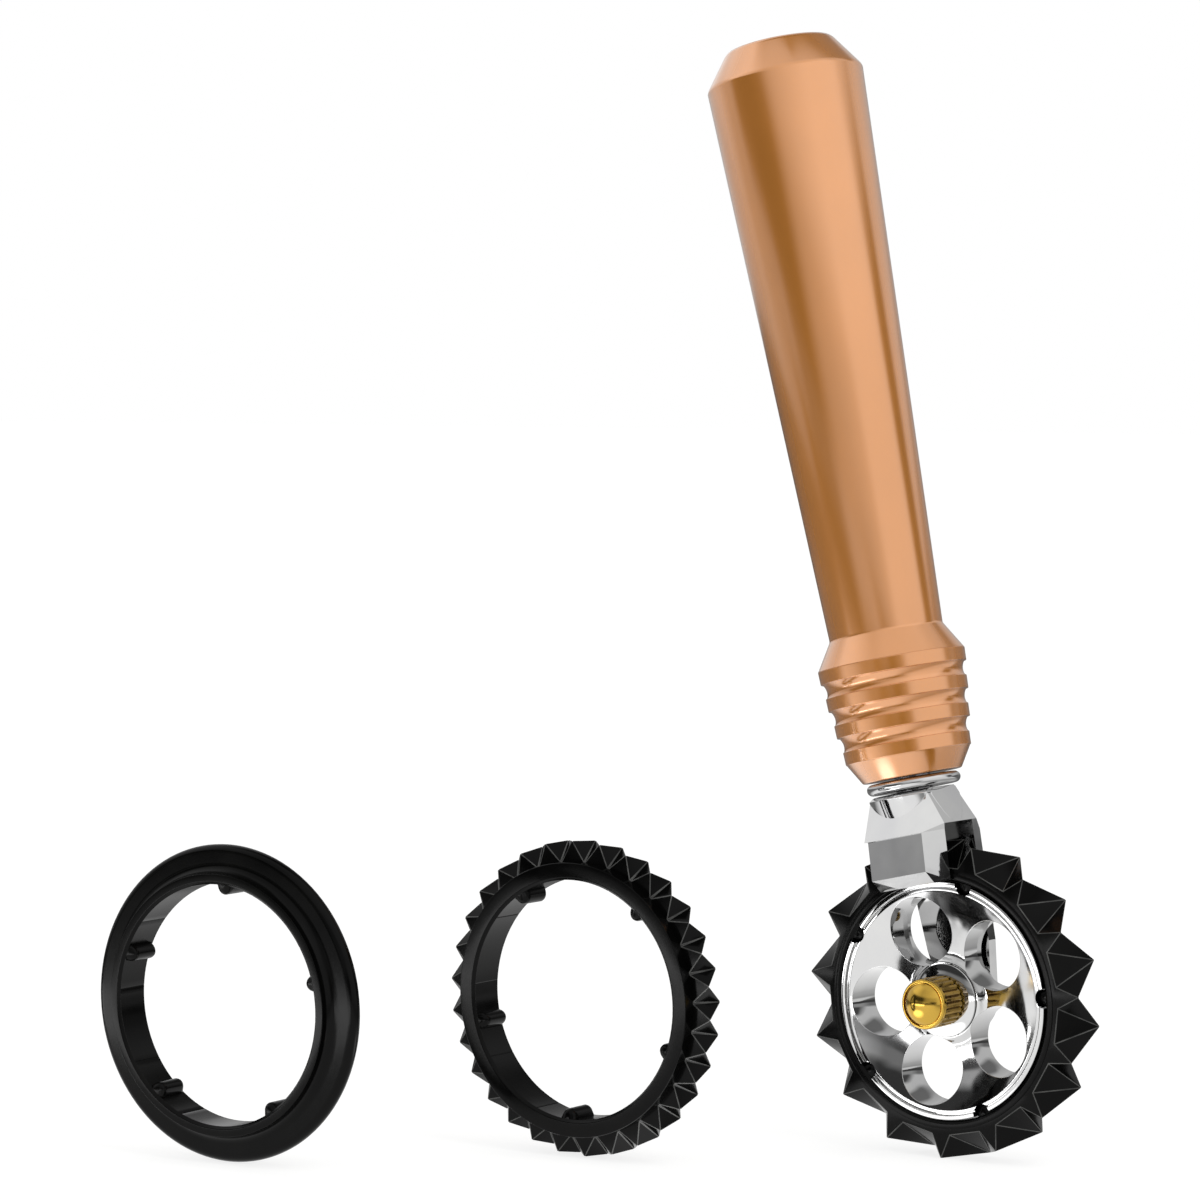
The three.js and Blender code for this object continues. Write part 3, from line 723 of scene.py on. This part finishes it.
border_x, border_z, boss_angle = fifth_border()
out_x, out_z = border_x - hole_circle, border_z
length = np.hypot(out_x, out_z)
out_x, out_z = out_x / length, out_z / length
fan_rows, crowding = 20, 1.4
fan = (np.linspace(1, 0, fan_rows) ** crowding)[:, None]
fan_reach = hole_radius + hole_edge + fan * (length - hole_radius - hole_edge)
bend = np.linspace(0, np.pi / 2, 5)[1:, None]
bend_reach = np.broadcast_to(hole_radius + hole_edge * (1 - np.sin(bend)), (4, length.size))
reach = np.vstack([fan_reach, bend_reach, bend_reach[::-1], fan_reach[::-1]])
web_x, web_z = hole_circle + reach * out_x, reach * out_z
front_y = hub_face(np.hypot(web_x[:fan_rows], web_z[:fan_rows]))
rear_y = np.full_like(front_y, hub_rear)
wall_front = front_y[-1] + hole_edge * (1 - np.cos(bend))
wall_rear = hub_rear - hole_edge * (1 - np.cos(bend[::-1])) + 0 * length
web_y = np.vstack([front_y, wall_front, wall_rear, rear_y])
web = np.stack([web_x, web_y, web_z], -1)
hub_shells = []
for k in range(5):
    turn = (k + 0.5) * fifth
    points, faces = shell(placed(web, turn, centre=np.zeros(3)))
    hub_shells.append((points, faces))
print("each fifth has", len(hub_shells[0][1]), "faces")

# %% The rim with its notches and the boss
rim_profile = rounded([
    (border_radius, hub_face(np.array(border_radius)), 0), (dish_outer, inner_lip, 0.08),
    (17.85, inner_lip, 0.06), (17.85, -3.0, 0.04), (18.1, -3.0, 0.04), (18.1, hub_front, 0.06),
    (hub_radius, hub_front, 0.12), (hub_radius, hub_rear, 0.12), (border_radius, hub_rear, 0),
])
turns = (np.arange(5)[:, None] + 0.5) * fifth
rim_angle = (turns + border_angle[:-1]).ravel()
limit = notch_limit(rim_angle)
rim_radius = np.minimum(rim_profile[:, :1], limit)
rim_height = np.where(
    rim_profile[:, :1] > limit, np.maximum(rim_profile[:, 1:], hub_face(limit)), rim_profile[:, 1:],
)
rim = turned(rim_radius, rim_height, rim_angle)
boss_profile = rounded([
    (boss_radius, boss_front, 0), (axle_bore, boss_front, 0.15), (axle_bore, boss_rear, 0.15),
    (boss_radius, boss_rear, 0.1), (boss_radius, hub_rear, 0),
])
boss = turned(boss_profile[:, :1], boss_profile[:, 1:], (turns + boss_angle[:-1]).ravel())
hub_shells += [shell(rim), shell(boss)]
wheel_turn = math.radians(5.8)
counts = np.cumsum([0] + [len(points) for points, _ in hub_shells])
hub_points = np.vstack([points for points, _ in hub_shells])
hub_faces = np.vstack([faces + start for (_, faces), start in zip(hub_shells, counts)])
make_piece(
    "dished_hub", [(placed(hub_points, wheel_turn), hub_faces, 0)], chrome_plate, "wheel", "hub",
)

# %% [markdown]
# Polished brass
#
# The axle screw is turned from brass. Brass is a yellow metal, bright where it is polished. Over the knurl
# the colour is painted darker, to half at the crests and browner still in the valleys: painted shade, the
# shade that the grooves of a finer knurl would hold. How far a point lies from the axle tells crest from
# valley, so that distance drives the painted shade, and the button in front keeps the full colour all over.
# The roughness changes in small clouds.

# %% Finish of the axle screw
knurl_valley, knurl_crest, unshaded_front = 3.6, 3.95, -8.12
polished_brass, tree = new_material("polished_turned_brass")
from_axle = node(
    tree, "VectorMath", {"operation": "SUBTRACT"}, i0=node(tree, "TexCoord").outputs["Object"],
    i1=tuple(axle * MM),
).outputs[0]
crosswise = node(tree, "VectorMath", {"operation": "MULTIPLY"}, i0=from_axle, i1=(1, 0, 1)).outputs[0]
distance = node(tree, "VectorMath", {"operation": "LENGTH"}, i0=crosswise).outputs["Value"]
crest = node(
    tree, "MapRange", Value=distance, From_Min=knurl_valley * MM, From_Max=knurl_crest * MM,
).outputs[0]
depth = node(tree, "SeparateXYZ", Vector=from_axle).outputs["Y"]
in_front = node(tree, "Math", {"operation": "LESS_THAN"}, i0=depth, i1=unshaded_front * MM).outputs[0]
# painted shade: the knurl is at most half as bright and darkest in its valleys, while the button keeps its
# full colour
shaded_knurl = node(tree, "Math", {"operation": "MULTIPLY"}, i0=crest, i1=0.5).outputs[0]
unshaded_share = node(tree, "Math", {"operation": "MAXIMUM"}, i0=shaded_knurl, i1=in_front).outputs[0]
cloud = node(tree, "TexNoise", Vector=from_axle, Scale=500.0, Detail=3.0).outputs["Fac"]
brass_and_shade_stops = [(0.0, "#5e4718"), (0.5, "#9c7c36"), (1.0, "#c09c44")]
tone = node(tree, "ValToRGB", stops=brass_and_shade_stops, i0=unshaded_share).outputs["Color"]
sheen = node(tree, "MapRange", Value=cloud, From_Min=0.3, From_Max=0.7, To_Min=0.1, To_Max=0.18)
relief = node(tree, "Bump", Height=cloud, Strength=0.05, Distance=0.0001)
surface = node(
    tree, "BsdfPrincipled", Base_Color=tone, Metallic=1.0, Roughness=sheen.outputs[0],
    Normal=relief.outputs[0],
)
node(tree, "OutputMaterial", Surface=surface.outputs[0])
print("finish of the axle screw:", polished_brass.name)

# %% [markdown]
# The axle screw
#
# One bar makes the domed button, the knurled knob, the shank and the threaded tip. The knurl is a wave round
# the bar: the radius drops by up to 0.32 mm between 24 crests. The real one is finer, too fine to count. The
# thread is hidden in the fork, so it stays plain.

# %% The screw's profile
knob_rear, knob_front, dome_top = -3.3, -8.9, -10.4
button_edge, knob_edge, knob_radius = 3.5, 3.95, 4.0
shank_radius, shank_end, thread_radius, thread_end = 2.4, 4.0, 1.9, 5.9
dome_radius, dome_edge = 4.25, 3.3
dome_rows = np.linspace(0, math.asin(dome_edge / dome_radius), 16)
dome = np.stack([dome_radius * np.sin(dome_rows), dome_top + dome_radius * (1 - np.cos(dome_rows))], -1)
bar = rounded([
    (dome_edge, knob_front + 0.4, 0.05), (button_edge, knob_front + 0.4, 0.05),
    (button_edge, knob_front, 0.06), (3.72, knob_front, 0.08), (knob_edge, knob_front + 0.25, 0.12),
    (knob_edge, knob_front + 0.75, 0.05), (knob_radius, knob_front + 0.82, 0),
])
knob = np.stack([np.full(9, knob_radius), np.linspace(knob_front + 0.9, knob_rear - 0.45, 9)], -1)
shank = rounded([
    (knob_radius, knob_rear - 0.35, 0.08), (3.65, knob_rear, 0.08), (shank_radius, knob_rear, 0.1),
    (shank_radius, shank_end, 0.15), (thread_radius, shank_end, 0.05), (thread_radius, thread_end, 0.2),
    (0, thread_end, 0),
])
screw_profile = np.vstack([dome, bar, knob, shank])
print("the screw's profile has", len(screw_profile), "rows")

# %% The knurl
crests, flute_depth = 24, 0.32
knurl_start, front_fade, rear_end, rear_fade = 0.76, 0.12, 0.05, 0.4
screw_angle = full_circle(crests * 12)
ridge = np.abs((screw_angle * crests / (2 * np.pi)) % 1 * 2 - 1)
depth = flute_depth * np.clip((screw_profile[:, 1] - knob_front - knurl_start) / front_fade, 0, 1)
depth = depth * np.clip((knob_rear - rear_end - screw_profile[:, 1]) / rear_fade, 0, 1)
depth = depth * (screw_profile[:, 0] > button_edge)
screw_radius = screw_profile[:, :1] - depth[:, None] * (1 - np.minimum(1.5 * ridge, 1))
screw = turned(screw_radius, screw_profile[:, 1:], screw_angle)
make_piece(
    "axle_screw_knob", [(*shell(placed(screw)), 0)], polished_brass, "screw", "axle_screw", 40,
)

# %% [markdown]
# Black gloss plastic
#
# The rings are moulded in a hard black plastic, with an IOR of 1.5. It is nearly black in itself, so grey
# shows only where it mirrors something pale. A typical specular level is 0.5. Here it is 0.09, because that
# matches the photograph's deep blacks. The mould's steel leaves a faint texture of about 0.4 mm, and use
# dulls the gloss a little in patches. The small bevels on the sharp ridges are coloured grey, a painted
# highlight along each ridge.

# %% Finish of the rings
black_plastic, tree = new_material("moulded_black_gloss_plastic")
place = node(tree, "TexCoord").outputs["Object"]
texture = node(tree, "TexNoise", Vector=place, Scale=2500.0, Detail=2.0).outputs["Fac"]
wear = node(tree, "TexNoise", Vector=place, Scale=120.0, Detail=4.0, Roughness=0.65).outputs["Fac"]
tone = node(tree, "ValToRGB", stops=[(0.35, "#040404"), (0.75, "#090908")], i0=wear).outputs["Color"]
sheen = node(tree, "MapRange", Value=wear, From_Min=0.3, From_Max=0.75, To_Min=0.13, To_Max=0.24)
relief = node(tree, "Bump", Height=texture, Strength=0.025, Distance=0.0001)
surface = node(
    tree, "BsdfPrincipled", Base_Color=tone, Roughness=sheen.outputs[0], Normal=relief.outputs[0],
    IOR=1.5, Specular_IOR_Level=0.09,
)
node(tree, "OutputMaterial", Surface=surface.outputs[0])
# painted highlight: the bevels on the ridges are coloured grey, far lighter than the black plastic
painted_ridge_highlight, tree = new_material("rubbed_edge_of_black_plastic")
place = node(tree, "TexCoord").outputs["Object"]
highlight_variation = node(tree, "TexNoise", Vector=place, Scale=400.0, Detail=3.0).outputs["Fac"]
tone = node(tree, "ValToRGB", stops=[(0.35, "#20201f"), (0.7, "#555553")], i0=highlight_variation).outputs["Color"]
sheen = node(tree, "MapRange", Value=highlight_variation, To_Min=0.3, To_Max=0.5)
surface = node(tree, "BsdfPrincipled", Base_Color=tone, Roughness=sheen.outputs[0], IOR=1.5)
node(tree, "OutputMaterial", Surface=surface.outputs[0])
print("finishes of the rings:", black_plastic.name, "and", painted_ridge_highlight.name)

# %% [markdown]
# The rings' common body
#
# All three rings have the same bore, so that they fit the hub. Five pips stand inwards from it, and a fine
# line crosses the bore halfway between each pip and the middle of the gap beside it, probably where the
# mould's core is split. The pips are half an ellipse in section with rounded ends, so the bore is a radius
# that depends on the angle and the depth.

# %% The bore with its pips
ring_bore, half_ring, bore_bevel, tip_radius = 18.95, 3.45, 0.45, 25.0
pip_reach, pip_half, pip_end, pip_round = 1.6, 1.37, 3.0, 0.9
seam_offset = fifth / 4
seam_width, seam_depth = 0.14, 0.07


def ring_angles():
    """Angles round a ring, closer together across each pip and each mould line."""
    pip = math.asin(pip_half / ring_bore) * np.sin(np.linspace(-np.pi / 2, np.pi / 2, 17))
    seam = np.array([-1, 0, 1]) * seam_width / ring_bore
    rest = np.linspace(-fifth / 2, fifth / 2, 25)[:-1]
    rest = rest[np.abs(rest) > pip[-1] + 0.01]
    one = np.sort(np.r_[rest, pip, seam - seam_offset, seam + seam_offset])
    return (np.arange(5)[:, None] * fifth + one).ravel()


def bore_radius(angle, depth):
    """The bore, less a pip: its reach times the root of an end's roundness less the place across it squared,
    and plus a mould line: a small notch at a quarter of a fifth from each pip."""
    off = (angle + fifth / 2) % fifth - fifth / 2
    along = np.clip((np.abs(depth) - (pip_end - pip_round)) / pip_round, 0, 1)
    pip = pip_reach * np.sqrt(np.maximum(1 - along ** 2 - (off * ring_bore / pip_half) ** 2, 0))
    across = np.abs(np.abs(off) - seam_offset) * ring_bore / seam_width
    return ring_bore - pip + seam_depth * np.clip(1 - across, 0, 1)


def ring_body(outside):
    """A ring as a loop: the bore from front to rear, then its outside from rear to front."""
    rows = pip_end * np.r_[-1, np.cos(np.linspace(np.pi, 0, 21))[1:-1], 1]
    angle = ring_angles()
    bore = turned(bore_radius(angle, rows[:, None]), rows[:, None], angle)
    outer = turned(outside[:, :1], outside[:, 1:], angle)
    return shell(np.vstack([bore, outer]), True)


def round_outside(radius):
    """Faces and a plain cylinder, with every edge rounded."""
    return rounded([
        (ring_bore + 0.02, half_ring - bore_bevel, 0), (ring_bore + bore_bevel, half_ring, 0.12),
        (radius, half_ring, 0.18), (radius, -half_ring, 0.18), (ring_bore + bore_bevel, -half_ring, 0.12),
        (ring_bore + 0.02, bore_bevel - half_ring, 0),
    ])


print("a ring has", ring_angles().size, "lines round it")

# %% [markdown]
# The smooth ring
#
# The smooth ring crimps dough with a round nose on a thin web. The web grows out of the body through a
# hollow fillet on either side. So its outside is a profile of three arcs, and it has no teeth.

# %% The smooth ring
smooth_body, nose_radius, fillet_radius, smooth_tip = 20.6, 1.25, 1.6, 24.97
centre_offset = nose_radius + fillet_radius
web_foot = smooth_body + fillet_radius
hollow = np.radians(np.linspace(180, 270, 13))
round_nose = np.radians(np.linspace(90, -90, 17))
rear_hollow = np.stack([
    web_foot + fillet_radius * np.cos(hollow), centre_offset + fillet_radius * np.sin(hollow),
], -1)
nose_rows = np.stack([
    smooth_tip - nose_radius + nose_radius * np.cos(round_nose), nose_radius * np.sin(round_nose),
], -1)
front_hollow = rear_hollow[::-1] * [1, -1]
inner_edge = rounded([
    (ring_bore + 0.02, half_ring - bore_bevel, 0), (ring_bore + bore_bevel, half_ring, 0.12),
    (smooth_body, half_ring, 0.12), tuple(rear_hollow[0]) + (0,),
])
front_edge = inner_edge[:-1][::-1] * [1, -1]
smooth_outside = np.vstack([inner_edge[:-1], rear_hollow, nose_rows, front_hollow, front_edge])
spare_smooth_place = dict(
    turn=math.radians(14.4), heading=math.radians(4.5), centre=axle + np.array([-88.0, -72.5, 0]),
)
points, faces = ring_body(smooth_outside)
make_piece(
    "smooth_crimping_ring", [(placed(points, **spare_smooth_place), faces, 0)], black_plastic,
    "spare_smooth", "smooth_ring",
)

# %% [markdown]
# The zigzag treads
#
# A ridge runs to and fro across the ring, from a point on the front face to the next on the rear face, and
# the pockets between are flat facets. The few corners are worked out as arrays, one entry for each tooth,
# and the same twenty faces join them all the way round. A fine bevel catches light on the ridges, as on the
# real ring.

# %% A zigzag tread
# the bevel's faces take the grey painted highlight
ridge_bevel = 0.1


def zigzag_tread(count, width, root, root_share, first):
    """Corners of each tooth at the front and, half a pitch on, at the rear: two on the core, two at the
    root, one at the tip. The faces name corners by their family, with a number added for the next tooth."""
    pitch = 2 * np.pi / count
    angle = first + np.arange(count) * pitch
    core = (root + ring_bore) / 2
    families = []
    for side, start in ((-width / 2, angle), (width / 2, angle + pitch / 2)):
        for radius, shift in (
            (core, 0), (core, pitch / 2), (root, -root_share * pitch / 2), (root, root_share * pitch / 2),
            (tip_radius, 0),
        ):
            families.append(turned(radius, side, start + shift))
    fc, fn, fl, fr, fp, rc, rn, rl, rr, rp = ((k, 0) for k in range(10))

    def on(corner, step=1):
        return corner[0], step

    corners = [
        (fc, fl, fr), (fl, fp, fr), (fc, fr, fn), (fn, fr, on(fl)), (fn, on(fl), on(fc)), (rc, rr, rl),
        (rl, rr, rp), (rc, rn, rr), (rn, on(rl), rr), (rn, on(rc), on(rl)), (fp, rp, fr), (fr, rp, on(fl)),
        (on(fl), rp, on(fp)), (rp, rr, on(fp)), (rr, on(rl), on(fp)), (on(rl), on(rp), on(fp)), (fc, fn, rc),
        (fc, rc, on(rn, -1)), (fn, on(fc), rn), (fn, rn, rc),
    ]
    tooth = np.arange(count)
    faces = np.array([[k * count + (tooth + step) % count for k, step in face] for face in corners])
    return np.concatenate(families), np.moveaxis(faces, 1, -1).reshape(-1, 3)


def zigzag_ring(name, body_radius, tread, where, body, stands_for):
    points, faces = ring_body(round_outside(body_radius))
    make_piece(name, [
        (placed(points, **where), faces, 0), (placed(tread[0], **where), tread[1], ridge_bevel),
    ], (black_plastic, painted_ridge_highlight), body, stands_for, 20)


print("the ridges have a bevel of", ridge_bevel, "mm")

# %% The two zigzag rings
large_tread = zigzag_tread(count=15, width=6.6, root=21.2, root_share=0.37, first=0)
zigzag_ring("large_zigzag_tread", 20.3, large_tread, dict(turn=wheel_turn), "wheel", "large_zigzag_ring")
small_tread = zigzag_tread(count=30, width=2.8, root=21.7, root_share=0.94, first=np.pi / 30)
spare_small_place = dict(
    turn=math.radians(50.8), heading=math.radians(2), centre=axle + np.array([-47.0, -34.5, 0]),
)
zigzag_ring(
    "small_zigzag_tread", 21.7, small_tread, spare_small_place, "spare_zigzag", "small_zigzag_ring",
)

# %% [markdown]
# Turned steel
#
# A steel stud joins the handle to the fork. Only slivers of it show in the seams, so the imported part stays,
# with a grey metal and fine turning marks 0.2 mm apart.

# %% Finish of the stud
turned_steel, tree = new_material("turned_steel")
axis_frame = node(
    tree, "Mapping", {"vector_type": "TEXTURE"}, Vector=node(tree, "TexCoord").outputs["Object"],
    Rotation=(0, -lean, 0),
).outputs[0]
marks = node(tree, "TexWave", {"bands_direction": "Z"}, Vector=axis_frame, Scale=1600.0, Distortion=0.5)
sheen = node(tree, "MapRange", Value=marks.outputs["Fac"], To_Min=0.25, To_Max=0.4)
steel_stops = [(0.0, "#a8a8aa"), (1.0, "#b8b8ba")]
tone = node(tree, "ValToRGB", stops=steel_stops, i0=marks.outputs["Fac"]).outputs["Color"]
relief = node(tree, "Bump", Height=marks.outputs["Fac"], Strength=0.2, Distance=0.0001)
surface = node(
    tree, "BsdfPrincipled", Base_Color=tone, Metallic=1.0, Roughness=sheen.outputs[0],
    Normal=relief.outputs[0],
)
node(tree, "OutputMaterial", Surface=surface.outputs[0])
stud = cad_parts["handle_stud"]
stud.data.materials.clear()
stud.data.materials.append(turned_steel)
print("finish of the stud:", turned_steel.name)
